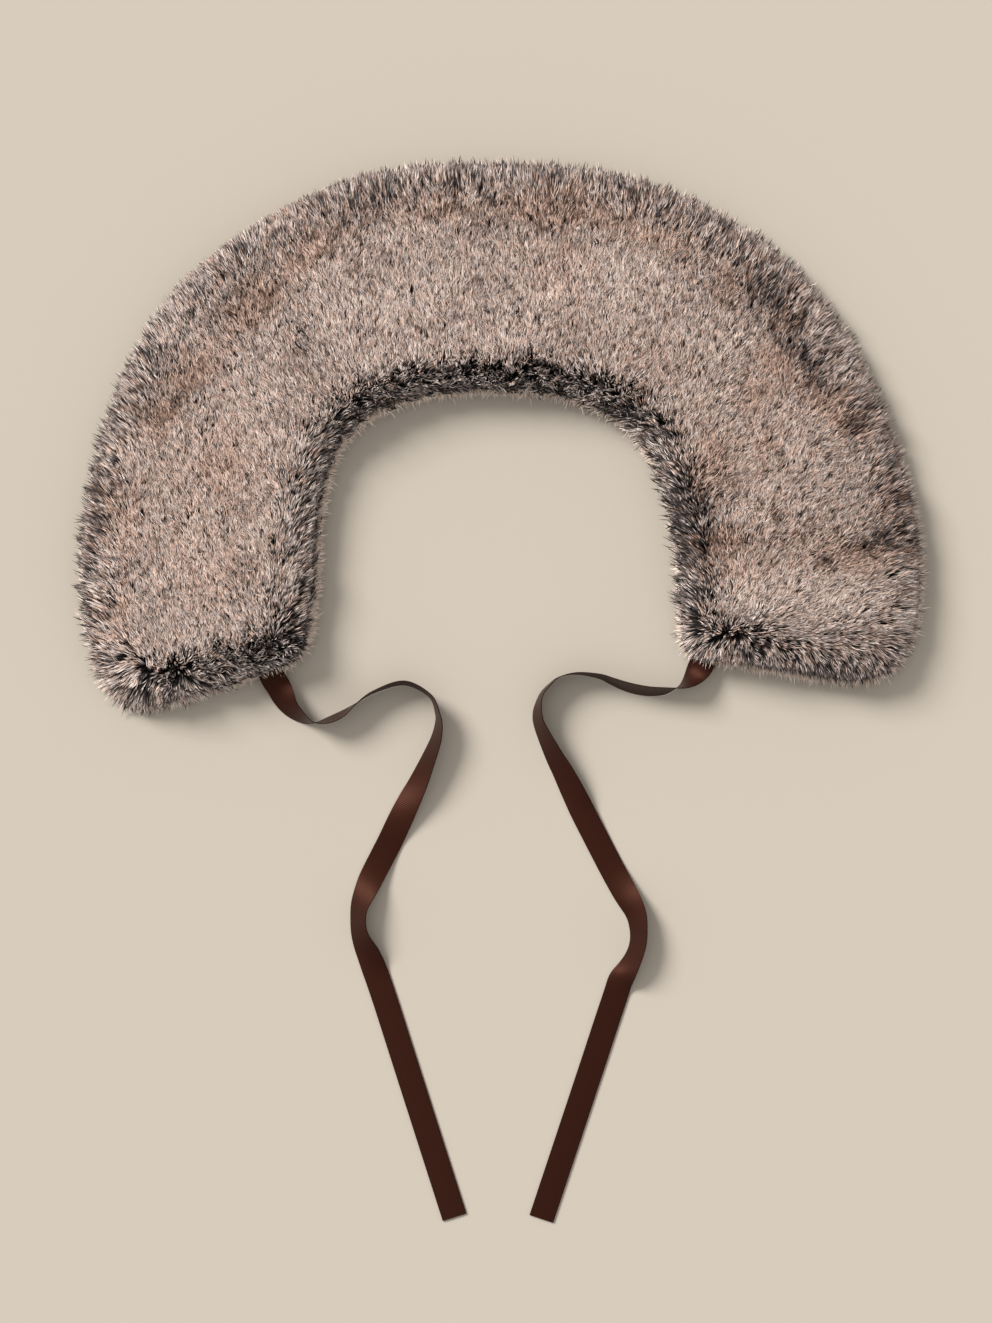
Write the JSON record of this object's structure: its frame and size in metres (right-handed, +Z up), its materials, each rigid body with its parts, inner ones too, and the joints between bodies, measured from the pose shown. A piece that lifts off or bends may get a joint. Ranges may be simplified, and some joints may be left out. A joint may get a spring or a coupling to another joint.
{
  "type": "fur collar wrap",
  "caption": "Faux-fur collar wrap laid flat: a horseshoe of long pile that goes round the neck, with ribbon ties at its front ends to fasten it.",
  "frame": {"origin": "middle of the whole object's box on the plan, ties included, on the surface that the collar lies on", "axes": "+Z up out of the surface, +Y towards the back of the neck, +X to the right in the picture"},
  "size_m": [0.4268, 0.5338, 0.0225],
  "materials": {
    "fur": "long soft faux-fur pile, dark brown at the roots and frosted pinkish beige at the tips",
    "fur_fringe": "the same faux-fur pile pressed flat, with pale beige tips",
    "backing": "dark knitted backing, hidden between the piles",
    "ribbon": "dark brown grosgrain with fine cross ribs and a soft sheen"
  },
  "bodies": {
    "root": {"top_pile": "fur", "under_pile": "fur_fringe", "top_panel": "backing", "under_panel": "backing", "tie_left": "ribbon", "tie_right": "ribbon"}
  },
  "joints": []
}
